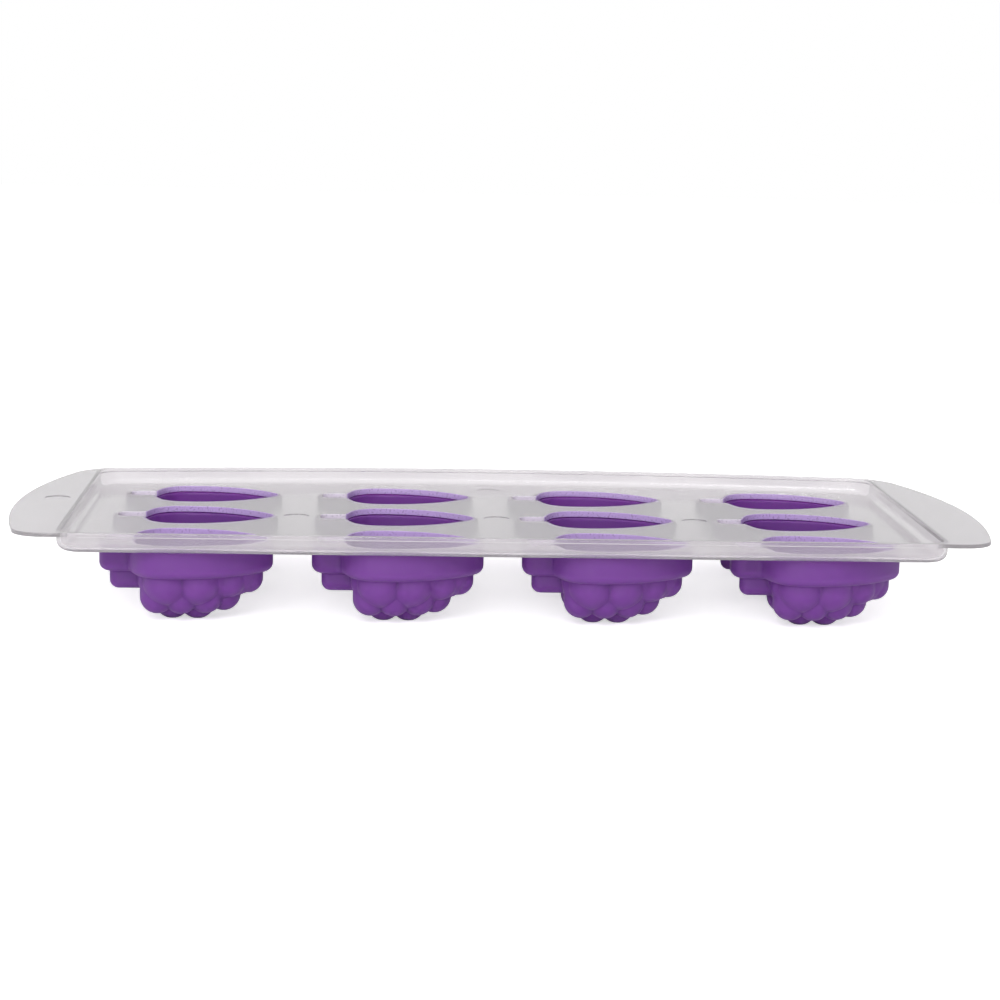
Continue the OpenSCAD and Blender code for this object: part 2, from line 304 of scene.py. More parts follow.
@dataclass
class Skin:
    """Collects rings of points, the strips between them and the flats they bound."""

    places: list[np.ndarray] = field(default_factory=list)
    normals: list[np.ndarray] = field(default_factory=list)
    faces: list[tuple[int, ...]] = field(default_factory=list)
    finishes: list[int] = field(default_factory=list)
    count: int = 0

    def ring(self, loop: Loop, grow: float, level: float, tilt: float) -> np.ndarray:
        """Adds the ring of a loop.

        Args:
            loop: The outline.
            grow: How far it is grown.
            level: Its height.
            tilt: Which way the skin faces there: 0 is outward, 90 up, -90 down, 180 inward.

        Returns:
            The indices of the ring's points.
        """
        points, rays = loop.ring(grow)
        level_column = np.full((len(points), 1), level)
        lean = math.radians(tilt)
        rise = np.full((len(points), 1), math.sin(lean))
        self.places.append(np.hstack([points, level_column]))
        self.normals.append(np.hstack([rays * math.cos(lean), rise]))
        indices = np.arange(self.count, self.count + len(points))
        self.count += len(points)
        return indices

    def strip(self, lower: np.ndarray, upper: np.ndarray) -> None:
        """Joins two rings of one loop; the second lies further along the skin.

        Args:
            lower: Indices of the first ring.
            upper: Indices of the next ring.
        """
        for i in range(len(lower)):
            j = (i + 1) % len(lower)
            self.faces.append((int(lower[i]), int(lower[j]), int(upper[j]), int(upper[i])))
            self.finishes.append(0)

    def path(self, loop: Loop, steps: list[tuple[float, float, float]]) -> tuple[np.ndarray, np.ndarray]:
        """Adds a run of rings with strips between them.

        Args:
            loop: The outline.
            steps: Growth, height and tilt of each ring.

        Returns:
            The first and the last ring.
        """
        rings = [self.ring(loop, *step) for step in steps]
        for lower, upper in zip(rings, rings[1:]):
            self.strip(lower, upper)
        return rings[0], rings[-1]

    def dress(self, first: int, beyond: float, finish: int) -> None:
        """Gives a finish to the latest faces that lie beyond a place along the tray.

        Args:
            first: The first face that may get it.
            beyond: Where it starts.
            finish: The finish's place in the object's list.
        """
        everything = np.concatenate(self.places)
        for i in range(first, len(self.faces)):
            if everything[list(self.faces[i]), 0].mean() > beyond:
                self.finishes[i] = finish

    def flat(self, outer: np.ndarray, holes: list[np.ndarray], facing: float) -> None:
        """Fills the flat between an outer ring and the rings of its holes.

        Args:
            outer: Indices of the outer ring.
            holes: Indices of each hole's ring.
            facing: 90 where the flat faces up, -90 where it faces down.
        """
        everything = np.concatenate(self.places)
        rings = [outer, *holes]
        indices = np.concatenate(rings)
        points = everything[indices][:, :2]
        edges, start = [], 0
        for ring in rings:
            size = len(ring)
            edges += [(start + i, start + (i + 1) % size) for i in range(size)]
            start += size
        found = delaunay_2d_cdt([Vector(p) for p in points], edges, [], 1, 1e-6)
        spots, triangles, origin = found[0], found[2], found[3]
        centres = np.array([[sum(spots[i][k] for i in t) / 3 for k in (0, 1)] for t in triangles])
        kept = inside(centres, everything[outer][:, :2])
        for hole in holes:
            kept &= ~inside(centres, everything[hole][:, :2])
        for triangle, keep in zip(triangles, kept):
            if not keep:
                continue
            corner = [int(indices[origin[i][0]]) for i in triangle]
            a, b, c = (everything[i] for i in corner)
            left = (b[0] - a[0]) * (c[1] - a[1]) - (b[1] - a[1]) * (c[0] - a[0]) > 0
            self.faces.append(tuple(corner if left == (facing > 0) else reversed(corner)))
            self.finishes.append(0)

    def build(self, name: str) -> bpy.types.Object:
        """Makes the object, in metres.

        Args:
            name: The object's name.

        Returns:
            The object.
        """
        mesh = bpy.data.meshes.new(name)
        mesh.from_pydata((np.concatenate(self.places) * MM).tolist(), [], self.faces)
        shell = bmesh.new()
        shell.from_mesh(mesh)
        bmesh.ops.recalc_face_normals(shell, faces=shell.faces)
        shell.to_mesh(mesh)
        shell.free()
        mesh.polygons.foreach_set("material_index", self.finishes)
        mesh.shade_smooth()
        mesh.normals_split_custom_set_from_vertices(np.concatenate(self.normals).tolist())
        piece = bpy.data.objects.new(name, mesh)
        bpy.context.collection.objects.link(piece)
        return piece


def inside(points: np.ndarray, ring: np.ndarray) -> np.ndarray:
    """Tests which points lie inside a closed ring.

    Args:
        points: The points to test.
        ring: The ring's corners in order.

    Returns:
        One truth value for each point.
    """
    following = np.roll(ring, -1, axis=0)
    x, y = points[:, :1], points[:, 1:]
    over = (ring[:, 1] > y) != (following[:, 1] > y)
    rise = np.where(following[:, 1] == ring[:, 1], 1.0, following[:, 1] - ring[:, 1])
    crossing = ring[:, 0] + (y - ring[:, 1]) * (following[:, 0] - ring[:, 0]) / rise
    return (np.count_nonzero(over & (x < crossing), axis=1) % 2) == 1


def rounded(grow: float, level: float, radius: float, start: float, end: float, parts: int = 4) -> list:
    """Gives the ring steps round a raised edge.

    Args:
        grow: Growth of the edge's centre line.
        level: Height of the edge's centre line.
        radius: The edge's radius.
        start: Tilt where it starts.
        end: Tilt where it ends.
        parts: Number of parts.

    Returns:
        Growth, height and tilt of each ring.
    """
    return [
        (grow + radius * math.cos(math.radians(t)), level + radius * math.sin(math.radians(t)), t)
        for t in np.linspace(start, end, parts + 1)
    ]


def hollowed(grow: float, level: float, radius: float, start: float, end: float, parts: int = 4) -> list:
    """Gives the ring steps through a hollow corner.

    Args:
        grow: Growth of the corner's centre line.
        level: Height of the corner's centre line.
        radius: The corner's radius.
        start: Tilt where it starts.
        end: Tilt where it ends.
        parts: Number of parts.

    Returns:
        Growth, height and tilt of each ring.
    """
    return [
        (grow - radius * math.cos(math.radians(t)), level - radius * math.sin(math.radians(t)), t)
        for t in np.linspace(start, end, parts + 1)
    ]


@dataclass
class Tray:
    """The rigid frosted tray: flange, grip tabs, basin, slotted openings and collars."""

    sizes: MouldSizes
    lip_round: float = 0.3
    collar_wall: float = 0.8
    collar_depth: float = 0.6
    edge_round: float = 0.2
    fine_round: float = 0.1
    mark_radius: float = 3.8
    mark_depth: float = 0.2
    mark_xs: tuple[float, ...] = (-60.0, 0.0, 60.0)
    back_mark_y: float = 48.6
    tab_mark_x: float = -131.0

    def outside(self, skin: Skin) -> tuple[np.ndarray, np.ndarray]:
        """Builds the flange's edge and the outside of the basin.

        Args:
            skin: The skin to add to.

        Returns:
            The ring round the top flat and the ring round the underside.
        """
        s, r, f = self.sizes, self.lip_round, self.fine_round
        flange, basin = s.flange(), s.basin()
        edge = rounded(-r, s.rim_top - r, r, UP, 0.0) + rounded(-r, s.flange_underside + r, r, 0.0, DOWN)
        top, under = skin.path(flange, edge)
        wide = s.basin_fillet + s.side_wall
        wall = hollowed(f, s.flange_underside - f, f, DOWN, 0.0, 2)
        wall += rounded(-wide, s.floor_underside + wide, wide, 0.0, DOWN, 8)
        inner, bottom = skin.path(basin, wall)
        skin.flat(under, [inner], DOWN)
        return top, bottom

    def inside(self, skin: Skin) -> tuple[np.ndarray, np.ndarray]:
        """Builds the inside of the basin's wall.

        Args:
            skin: The skin to add to.

        Returns:
            The ring round the floor and the ring at the top flat.
        """
        s, r = self.sizes, self.lip_round
        wide = s.basin_fillet + s.side_wall
        steps = hollowed(-wide, s.floor_top + s.basin_fillet, s.basin_fillet, UP, 180.0, 6)
        steps += rounded(r - s.side_wall, s.rim_top - r, r, 180.0, UP)
        return skin.path(s.basin(), steps)

    def collar(self, skin: Skin, place: Point) -> tuple[np.ndarray, np.ndarray]:
        """Builds one opening's collar.

        Args:
            skin: The skin to add to.
            place: Middle of the opening.

        Returns:
            The ring in the underside and the ring in the floor.
        """
        s, e, f = self.sizes, self.edge_round, self.fine_round
        low = s.floor_underside - self.collar_depth
        steps = hollowed(self.collar_wall + f, s.floor_underside - f, f, DOWN, 0.0, 2)
        steps += rounded(self.collar_wall - e, low + e, e, 0.0, DOWN, 2)
        loop = s.opening(place)
        first = len(skin.faces)
        under, edge = skin.path(loop, steps)
        inner = rounded(e, low + e, e, DOWN, -180.0, 2)
        inner += rounded(e, s.floor_top - e, e, -180.0, -270.0, 3)
        wall, over = skin.path(loop, inner)
        skin.strip(edge, wall)
        # Collar faces by the stem slot get finish 2, a faint painted show-through of the purple cup
        # under the clear plastic.
        skin.dress(first, place[0] + s.stem_end_x, 2)
        # Collar faces round the berry get finish 1, the painted show-through of the purple cup under the
        # clear plastic.
        skin.dress(first, place[0] + s.blunt_x, 1)
        return under, over

    def mark(self, skin: Skin, place: Point, level: float) -> np.ndarray:
        """Builds one round ejector mark.

        Args:
            skin: The skin to add to.
            place: Middle of the mark.
            level: Height of the flat that it lies in.

        Returns:
            The ring in the flat.
        """
        circle = Loop((Arc(place, self.mark_radius, 0.0, 360.0),), sag=0.02)
        f, deep = self.fine_round, level - self.mark_depth
        first, last = skin.path(
            circle, rounded(f, level - f, f, UP, 180.0, 2) + hollowed(-f, deep + f, f, 180.0, UP, 2)
        )
        skin.flat(last, [], UP)
        return first

    def build(self) -> bpy.types.Object:
        """Builds the whole tray.

        Returns:
            The tray.
        """
        s, skin = self.sizes, Skin()
        top, bottom = self.outside(skin)
        floor, rim = self.inside(skin)
        places = [(x, y) for y in s.row_ys for x in s.column_xs]
        under, over = zip(*(self.collar(skin, place) for place in places))
        middle = s.row_ys[1]
        marks = [self.mark(skin, (x, middle), s.floor_top) for x in self.mark_xs]
        marks.append(self.mark(skin, (0.0, self.back_mark_y), s.floor_top))
        tab = self.mark(skin, (self.tab_mark_x, middle), s.rim_top)
        skin.flat(bottom, list(under), DOWN)
        skin.flat(floor, [*over, *marks], UP)
        skin.flat(top, [rim, tab], UP)
        return skin.build("frosted_tray")


@dataclass
class SoftCup:
    """One soft berry cup, worked out as a distance field and skinned in one piece."""

    sizes: MouldSizes
    wall: float = 1.3
    band_wall: float = 1.6
    band_underside: float = 13.7
    band_round: float = 2.5
    band_step: float = 2.8
    stem_underside: float = 8.3
    top_level: float = 11.7
    middle_level: float = 7.1
    foot_level: float = 4.85
    foot_radius: float = 5.1
    drupelet: float = 4.9
    broad_drupelet: float = 6.8
    tip_drupelet: float = 4.3
    side_angle: float = 53.5
    broad_angles: tuple[float, ...] = (74.0, 95.0)
    blunt_angle: float = 164.5
    middle_angles: tuple[float, ...] = (67.0, 85.0, 102.5)
    middle_inset: float = 8.0
    middle_tip_inset: float = 12.4
    foot_steps: tuple[float, ...] = (-0.9, 6.2)
    core_steps: tuple[Point, ...] = ((1.0, 2.4), (9.5, 4.2), (16.5, 6.6))
    groove_wall: float = 0.95
    groove_depth: float = 0.9
    core_lift: float = 2.1
    seat_gap: float = 0.03
    blend: float = 0.25
    cell: float = 0.45
    reach: float = 0.02
    low_corner: Colour = (-25.4, -18.2, -0.9)
    high_corner: Colour = (25.4, 18.2, 22.6)

    def body_grow(self) -> float:
        """Says how far the berry's body lies outside the opening."""
        return self.band_wall - self.band_step

    def drupelets(self) -> list[tuple[float, float, float, float]]:
        """Places the drupelets and the smooth core.

        Returns:
            Each one's place, height and radius.
        """
        s, grow = self.sizes, self.body_grow()
        rods: list[tuple[float, float, float, float]] = []

        def side(angle: float, inset: float, level: float, radius: float) -> None:
            """Adds a pair of drupelets along the long sides.

            Args:
                angle: Where they sit, in degrees round the side's centre.
                inset: How far their middles lie inside the body's outline.
                level: Height of their middles.
                radius: Their radius.
            """
            turn = math.radians(angle)
            reach = s.side_radius + grow - inset
            x = s.side_centre[0] + reach * math.cos(turn)
            y = s.side_centre[1] + reach * math.sin(turn)
            rods.extend([(x, y, level, radius), (x, -y, level, radius)])

        side(self.side_angle, self.drupelet, self.top_level, self.drupelet)
        for angle in self.broad_angles:
            side(angle, self.broad_drupelet, self.top_level, self.broad_drupelet)
        for angle in self.middle_angles:
            side(angle, self.middle_inset, self.middle_level, self.drupelet)
        turn = math.radians(self.blunt_angle)
        reach = s.blunt_radius + grow - self.drupelet
        x, y = s.blunt_centre[0] + reach * math.cos(turn), reach * math.sin(turn)
        rods.extend([(x, y, self.top_level, self.drupelet), (x, -y, self.top_level, self.drupelet)])
        tip_x = s.tip_x + grow - self.tip_drupelet
        rods.append((tip_x, 0.0, self.top_level, self.tip_drupelet))
        rods.append((s.tip_x - self.middle_tip_inset, 0.0, self.middle_level, self.drupelet))
        for step in self.foot_steps:
            rods.append((s.widest_x + step, 0.0, self.foot_level, self.foot_radius))
        for step, floor in self.core_steps:
            x = s.widest_x + step
            wide = s.side_centre[1] + math.sqrt(s.side_radius**2 - (x - s.side_centre[0]) ** 2)
            radius = wide + grow - self.core_lift
            rods.append((x, 0.0, floor + radius, radius))
        return rods

    def opening_distance(self, x: np.ndarray, y: np.ndarray) -> np.ndarray:
        """Gives the distance to the opening's outline, below zero inside it.

        Args:
            x: Places along the tray, from the opening's middle.
            y: Places across the tray.

        Returns:
            The distances.
        """
        s = self.sizes
        tip, side, shoulder, blunt_turn = s.berry_half()
        across = np.abs(y)
        berry = np.full(x.shape, -s.berry_width)
        for arc in (tip, side, shoulder, Arc(s.blunt_centre, s.blunt_radius, blunt_turn, 180.0)):
            dx, dy = x - arc.centre[0], across - arc.centre[1]
            turn = np.degrees(np.arctan2(dy, dx))
            within = (turn >= arc.start - 0.01) & (turn <= arc.end + 0.01)
            berry = np.where(within, np.maximum(berry, np.hypot(dx, dy) - arc.radius), berry)
        stem_reach = (s.stem_root_x - s.stem_end_x) / 2
        stem_x = x - (s.stem_root_x + s.stem_end_x) / 2
        wx = np.abs(stem_x) - stem_reach + s.stem_corner
        wy = across - s.stem_width / 2 + s.stem_corner
        stem = np.minimum(np.maximum(wx, wy), 0.0) - s.stem_corner
        stem += np.hypot(np.maximum(wx, 0.0), np.maximum(wy, 0.0))
        return merged(berry, stem, s.stem_notch)

    def slab(self, outline: np.ndarray, z: np.ndarray, bottom: float, radius: float) -> np.ndarray:
        """Gives the distance to an upright slab with a round lower edge.

        Args:
            outline: Distance to its outline.
            z: Heights.
            bottom: Its lower face.
            radius: Radius of its lower edge.

        Returns:
            The distances.
        """
        side, floor = outline + radius, bottom + radius - z
        corner = np.hypot(np.maximum(side, 0.0), np.maximum(floor, 0.0))
        return np.minimum(np.maximum(side, floor), 0.0) + corner - radius

    def body(self, p: np.ndarray, grow: float) -> np.ndarray:
        """Gives the distance to the berry below the band.

        Args:
            p: Places.
            grow: Zero for the outside, less than zero for the inside.

        Returns:
            The distances.
        """
        s = self.sizes
        x, y, z = p[..., 0], p[..., 1], p[..., 2]
        total = None
        for cx, cy, level, radius in self.drupelets():
            low = np.minimum(z - level, 0.0)
            rod = np.sqrt((x - cx) ** 2 + (y - cy) ** 2 + low**2) - radius - grow
            total = rod if total is None else merged(total, rod, self.blend)
        level = self.stem_underside + s.stem_width / 2 + self.body_grow()
        dx = x - np.clip(x, s.stem_end_x + s.stem_width / 2, s.stem_root_x)
        low = np.minimum(z - level, 0.0)
        trough = np.sqrt(dx**2 + y**2 + low**2) - (s.stem_width / 2 + self.body_grow()) - grow
        return merged(total, trough, self.blend)

    def distance(self, p: np.ndarray) -> np.ndarray:
        """Gives the distance to the cup, below zero in its wall.

        Args:
            p: Places, from the opening's middle.

        Returns:
            The distances.
        """
        s, z = self.sizes, p[..., 2]
        outline = self.opening_distance(p[..., 0], p[..., 1])
        band = self.slab(outline - self.band_wall, z, self.band_underside, self.band_round)
        outer = merged(band, self.body(p, 0.0), self.blend)
        outer = np.maximum(np.maximum(outer, z - s.floor_underside + self.seat_gap), -z)
        ledge = self.band_underside + self.wall
        mouth = self.slab(outline, z, ledge, self.band_round - self.wall)
        cavity = merged(mouth, self.body(p, -self.wall), self.blend)
        groove = np.maximum(outline - self.groove_wall, s.floor_underside - self.groove_depth - z)
        return np.maximum(np.maximum(outer, -cavity), -groove)

    def build(self) -> bpy.types.Mesh:
        """Builds the cup's mesh round the origin, in metres.

        Returns:
            The mesh.
        """
        corners = zip(self.low_corner, self.high_corner)
        axes = [np.arange(low, high, self.cell) for low, high in corners]
        grid = np.stack(np.meshgrid(*axes, indexing="ij"), axis=-1)
        points, quads = skinned(self.distance(grid), np.array(self.low_corner), self.cell)
        for _ in range(3):
            value = self.distance(points)
            slope = np.stack(
                [
                    (self.distance(points + step) - self.distance(points - step)) / (2 * self.reach)
                    for step in self.reach * np.eye(3)
                ],
                axis=-1,
            )
            size = np.maximum((slope**2).sum(axis=-1), 0.25)
            move = -slope * (value / size)[:, None]
            points = points + np.clip(move, -self.cell / 3, self.cell / 3)
        mesh = bpy.data.meshes.new("soft_cup")
        mesh.from_pydata((points * MM).tolist(), [], quads.tolist())
        mesh.shade_smooth()
        return mesh


def merged(a: np.ndarray, b: np.ndarray, soft: float) -> np.ndarray:
    """Joins two distance fields with a soft inner corner.

    Args:
        a: First distances.
        b: Second distances.
        soft: Width of the soft corner.

    Returns:
        The distances to both together.
    """
    near = np.maximum(soft - np.abs(a - b), 0.0) / soft
    return np.minimum(a, b) - near * near * soft / 4.0


def skinned(values: np.ndarray, low: np.ndarray, cell: float) -> tuple[np.ndarray, np.ndarray]:
    """Skins a grid of distances with one point in each cell that the surface crosses.

    Args:
        values: Distances on the grid, below zero inside.
        low: Place of the grid's first point.
        cell: Distance between the grid's points.

    Returns:
        The skin's points and its four-cornered faces.
    """
    size = np.array(values.shape) - 1
    total, hits = np.zeros((*size, 3)), np.zeros(size)
    inner = values < 0.0
    edges = []
    for axis in range(3):
        head = [slice(None)] * 3
        tail = [slice(None)] * 3
        head[axis], tail[axis] = slice(0, -1), slice(1, None)
        a, b = values[tuple(head)], values[tuple(tail)]
        cross = inner[tuple(head)] != inner[tuple(tail)]
        share = np.where(cross, a / np.where(cross, a - b, 1.0), 0.0)
        counts = [np.arange(n, dtype=float) for n in a.shape]
        spot = np.stack(np.meshgrid(*counts, indexing="ij"), axis=-1)
        spot[..., axis] += share
        others = [k for k in range(3) if k != axis]
        for shift in ((0, 0), (0, 1), (1, 0), (1, 1)):
            view = [slice(None)] * 3
            for k, move in zip(others, shift):
                view[k] = slice(move, move + size[k])
            mask = cross[tuple(view)]
            total += np.where(mask[..., None], spot[tuple(view)], 0.0)
            hits += mask
        edges.append((axis, others, cross, inner[tuple(head)]))
    used = hits > 0
    index = np.full(size, -1)
    index[used] = np.arange(int(used.sum()))
    points = low + cell * total[used] / hits[used][:, None]
    quads = []
    for axis, others, cross, started in edges:
        view = [slice(None)] * 3
        for k in others:
            view[k] = slice(1, -1)
        at = np.argwhere(cross[tuple(view)])
        for k in others:
            at[:, k] += 1
        first = started[tuple(at.T)]
        corner = []
        for shift in ((-1, -1), (0, -1), (0, 0), (-1, 0)):
            cell_at = at.copy()
            for k, move in zip(others, shift):
                cell_at[:, k] += move
            corner.append(index[tuple(cell_at.T)])
        quad = np.stack(corner, axis=1)
        turned = first if axis != 1 else ~first
        quads.append(np.where(turned[:, None], quad, quad[:, ::-1]))
    return points, np.concatenate(quads)


@dataclass
class NodeTree:
    """A thin helper that adds and links shader nodes in one tree."""

    tree: bpy.types.NodeTree

    def add(self, kind: str, **inputs: object) -> bpy.types.Node:
        """Adds a node and sets its input values.

        Args:
            kind: The node's type name.
            **inputs: Values by input name, with _ for a space.

        Returns:
            The new node.
        """
        node = self.tree.nodes.new(kind)
        for name, value in inputs.items():
            node.inputs[name.replace("_", " ")].default_value = value
        return node

    def link(self, source: bpy.types.NodeSocket, target: bpy.types.NodeSocket) -> None:
        """Links one socket to another."""
        self.tree.links.new(source, target)


class MouldedSurface:
    """A shader group for the faint clouding and fine skin that moulded plastic has."""

    name = "moulded_surface"

    def build(self) -> bpy.types.NodeTree:
        """Builds the group once.

        Returns:
            The group's node tree.
        """
        if self.name in bpy.data.node_groups:
            return bpy.data.node_groups[self.name]
        group = bpy.data.node_groups.new(self.name, "ShaderNodeTree")
        face = group.interface
        for label, kind, value in (
            ("Base", "NodeSocketColor", (0.5, 0.5, 0.5, 1.0)),
            ("Deep", "NodeSocketColor", (0.4, 0.4, 0.4, 1.0)),
            ("Cloud Scale", "NodeSocketFloat", 60.0),
            ("Grain Scale", "NodeSocketFloat", 900.0),
            ("Roughness", "NodeSocketFloat", 0.4),
            ("Roughness Spread", "NodeSocketFloat", 0.08),
        ):
            socket = face.new_socket(name=label, in_out="INPUT", socket_type=kind)
            socket.default_value = value
        for label, kind in (
            ("Color", "NodeSocketColor"),
            ("Roughness", "NodeSocketFloat"),
            ("Height", "NodeSocketFloat"),
        ):
            face.new_socket(name=label, in_out="OUTPUT", socket_type=kind)
        nodes = NodeTree(group)
        entry = nodes.add("NodeGroupInput")
        leave = nodes.add("NodeGroupOutput")
        place = nodes.add("ShaderNodeTexCoord")
        cloud = nodes.add("ShaderNodeTexNoise", Detail=3.0, Roughness=0.55)
        grain = nodes.add("ShaderNodeTexNoise", Detail=4.0, Roughness=0.6)
        nodes.link(place.outputs["Object"], cloud.inputs["Vector"])
        nodes.link(place.outputs["Object"], grain.inputs["Vector"])
        nodes.link(entry.outputs["Cloud Scale"], cloud.inputs["Scale"])
        nodes.link(entry.outputs["Grain Scale"], grain.inputs["Scale"])
        tint = nodes.add("ShaderNodeMix")
        tint.data_type = "RGBA"
        nodes.link(cloud.outputs["Fac"], tint.inputs["Factor"])
        nodes.link(entry.outputs["Base"], tint.inputs["A"])
        nodes.link(entry.outputs["Deep"], tint.inputs["B"])
        nodes.link(tint.outputs["Result"], leave.inputs["Color"])
        offset = nodes.add("ShaderNodeMath")
        offset.operation = "SUBTRACT"
        offset.inputs[1].default_value = 0.5
        nodes.link(grain.outputs["Fac"], offset.inputs[0])
        rough = nodes.add("ShaderNodeMath")
        rough.operation = "MULTIPLY_ADD"
        nodes.link(offset.outputs[0], rough.inputs[0])
        nodes.link(entry.outputs["Roughness Spread"], rough.inputs[1])
        nodes.link(entry.outputs["Roughness"], rough.inputs[2])
        nodes.link(rough.outputs[0], leave.inputs["Roughness"])
        nodes.link(grain.outputs["Fac"], leave.inputs["Height"])
        return group


@dataclass(frozen=True)
class Finish:
    """A moulded finish: its colours, its gloss and its fine skin."""

    name: str
    base: Colour
    deep: Colour
    roughness: float
    spread: float
    cloud_scale: float
    grain_scale: float
    bump: float
    transmission: float = 0.0
    ior: float = 1.49
    specular: float = 0.5
    subsurface: float = 0.0
    subsurface_scale: float = 0.002
    subsurface_radius: Colour = (1.0, 0.6, 1.0)
    sheen: float = 0.0

    def build(self) -> bpy.types.Material:
        """Builds the finish as a material.

        Returns:
            The material.
        """
        material = bpy.data.materials.new(self.name)
        material.use_nodes = True
        nodes = NodeTree(material.node_tree)
        shader = material.node_tree.nodes["Principled BSDF"]
        skin = nodes.add("ShaderNodeGroup")
        skin.node_tree = MouldedSurface().build()
        skin.inputs["Base"].default_value = (*self.base, 1.0)
        skin.inputs["Deep"].default_value = (*self.deep, 1.0)
        skin.inputs["Cloud Scale"].default_value = self.cloud_scale
        skin.inputs["Grain Scale"].default_value = self.grain_scale
        skin.inputs["Roughness"].default_value = self.roughness
        skin.inputs["Roughness Spread"].default_value = self.spread
        nodes.link(skin.outputs["Color"], shader.inputs["Base Color"])
        nodes.link(skin.outputs["Roughness"], shader.inputs["Roughness"])
        bump = nodes.add("ShaderNodeBump", Strength=self.bump, Distance=0.0002)
        nodes.link(skin.outputs["Height"], bump.inputs["Height"])
        nodes.link(bump.outputs["Normal"], shader.inputs["Normal"])
        shader.inputs["IOR"].default_value = self.ior
        shader.inputs["Specular IOR Level"].default_value = self.specular
        shader.inputs["Transmission Weight"].default_value = self.transmission
        shader.inputs["Subsurface Weight"].default_value = self.subsurface
        shader.inputs["Subsurface Scale"].default_value = self.subsurface_scale
        shader.inputs["Subsurface Radius"].default_value = self.subsurface_radius
        shader.inputs["Sheen Weight"].default_value = self.sheen
        return material


FROSTED_PLASTIC = Finish(
    name="frosted_natural_plastic",
    base=(0.87, 0.84, 0.865),
    deep=(0.84, 0.81, 0.84),
    roughness=0.10,
    spread=0.06,
    cloud_scale=35.0,
    grain_scale=1400.0,
    bump=0.10,
    transmission=0.82,
    specular=0.3,
)
# Painted show-through: the purple of the cup under the collar, seen through the clear plastic, is
# painted into this plastic's colour.
COLLAR_PAINTED_SHOW_THROUGH = Finish(
    name="collar_painted_purple_show_through",
    base=(0.58, 0.42, 0.78),
    deep=(0.53, 0.37, 0.72),
    roughness=0.28,
    spread=0.08,
    cloud_scale=60.0,
    grain_scale=1400.0,
    bump=0.10,
    transmission=0.2,
)
# Painted show-through, fainter: the little purple of the cup that shows through the plastic by the stem
# slot is painted into its colour.
STEM_PAINTED_SHOW_THROUGH = Finish(
    name="stem_slot_painted_purple_show_through",
    base=(0.84, 0.77, 0.88),
    deep=(0.80, 0.73, 0.85),
    roughness=0.28,
    spread=0.08,
    cloud_scale=60.0,
    grain_scale=1400.0,
    bump=0.10,
    transmission=0.2,
)
SOFT_RUBBER = Finish(
    name="soft_purple_rubber",
    base=(0.160, 0.050, 0.265),
    deep=(0.138, 0.041, 0.235),
    roughness=0.48,
    spread=0.12,
    cloud_scale=45.0,
    grain_scale=1800.0,
    bump=0.15,
    specular=0.3,
    subsurface=0.8,
    subsurface_scale=0.006,
    subsurface_radius=(1.0, 0.5, 1.0),
)


@dataclass
class CupPlacing:
    """A geometry node tree that sets one cup under its opening and gives it its finish."""

    name: str = "cup_placing"

    def build(self) -> bpy.types.NodeTree:
        """Builds the tree once.

        Returns:
            The tree.
        """
        if self.name in bpy.data.node_groups:
            return bpy.data.node_groups[self.name]
        tree = bpy.data.node_groups.new(self.name, "GeometryNodeTree")
        face = tree.interface
        face.new_socket(name="Cup", in_out="INPUT", socket_type="NodeSocketGeometry")
        for label in ("Column X", "Row Y"):
            face.new_socket(name=label, in_out="INPUT", socket_type="NodeSocketFloat")
        face.new_socket(name="Finish", in_out="INPUT", socket_type="NodeSocketMaterial")
        face.new_socket(name="Placed Cup", in_out="OUTPUT", socket_type="NodeSocketGeometry")
        nodes = NodeTree(tree)
        entry, leave = nodes.add("NodeGroupInput"), nodes.add("NodeGroupOutput")
        spot = nodes.add("ShaderNodeCombineXYZ")
        nodes.link(entry.outputs["Column X"], spot.inputs["X"])
        nodes.link(entry.outputs["Row Y"], spot.inputs["Y"])
        copy = nodes.add("GeometryNodeGeometryToInstance")
        move = nodes.add("GeometryNodeTranslateInstances")
        real = nodes.add("GeometryNodeRealizeInstances")
        dress = nodes.add("GeometryNodeSetMaterial")
        nodes.link(entry.outputs["Cup"], copy.inputs["Geometry"])
        nodes.link(copy.outputs["Instances"], move.inputs["Instances"])
        nodes.link(spot.outputs["Vector"], move.inputs["Translation"])
        nodes.link(move.outputs["Instances"], real.inputs["Geometry"])
        nodes.link(real.outputs["Geometry"], dress.inputs["Geometry"])
        nodes.link(entry.outputs["Finish"], dress.inputs["Material"])
        nodes.link(dress.outputs["Geometry"], leave.inputs["Placed Cup"])
        return tree

    def place(
        self, name: str, cup: bpy.types.Mesh, spot: Point, finish: bpy.types.Material
    ) -> bpy.types.Object:
        """Places one cup as a plain mesh of its own.

        Args:
            name: The piece's name.
            cup: The mesh of a cup round the origin.
            spot: Middle of its opening in millimetres.
            finish: Its material.

        Returns:
            The piece.
        """
        piece = bpy.data.objects.new(name, cup)
        bpy.context.collection.objects.link(piece)
        modifier = piece.modifiers.new("placing", "NODES")
        modifier.node_group = self.build()
        values = {"Column X": spot[0] * MM, "Row Y": spot[1] * MM, "Finish": finish}
        for socket in modifier.node_group.interface.items_tree:
            if socket.name in values and socket.in_out == "INPUT":
                modifier[socket.identifier] = values[socket.name]
        bpy.context.view_layer.update()
        graph = bpy.context.evaluated_depsgraph_get()
        piece.data = bpy.data.meshes.new_from_object(piece.evaluated_get(graph))
        piece.modifiers.clear()
        return piece


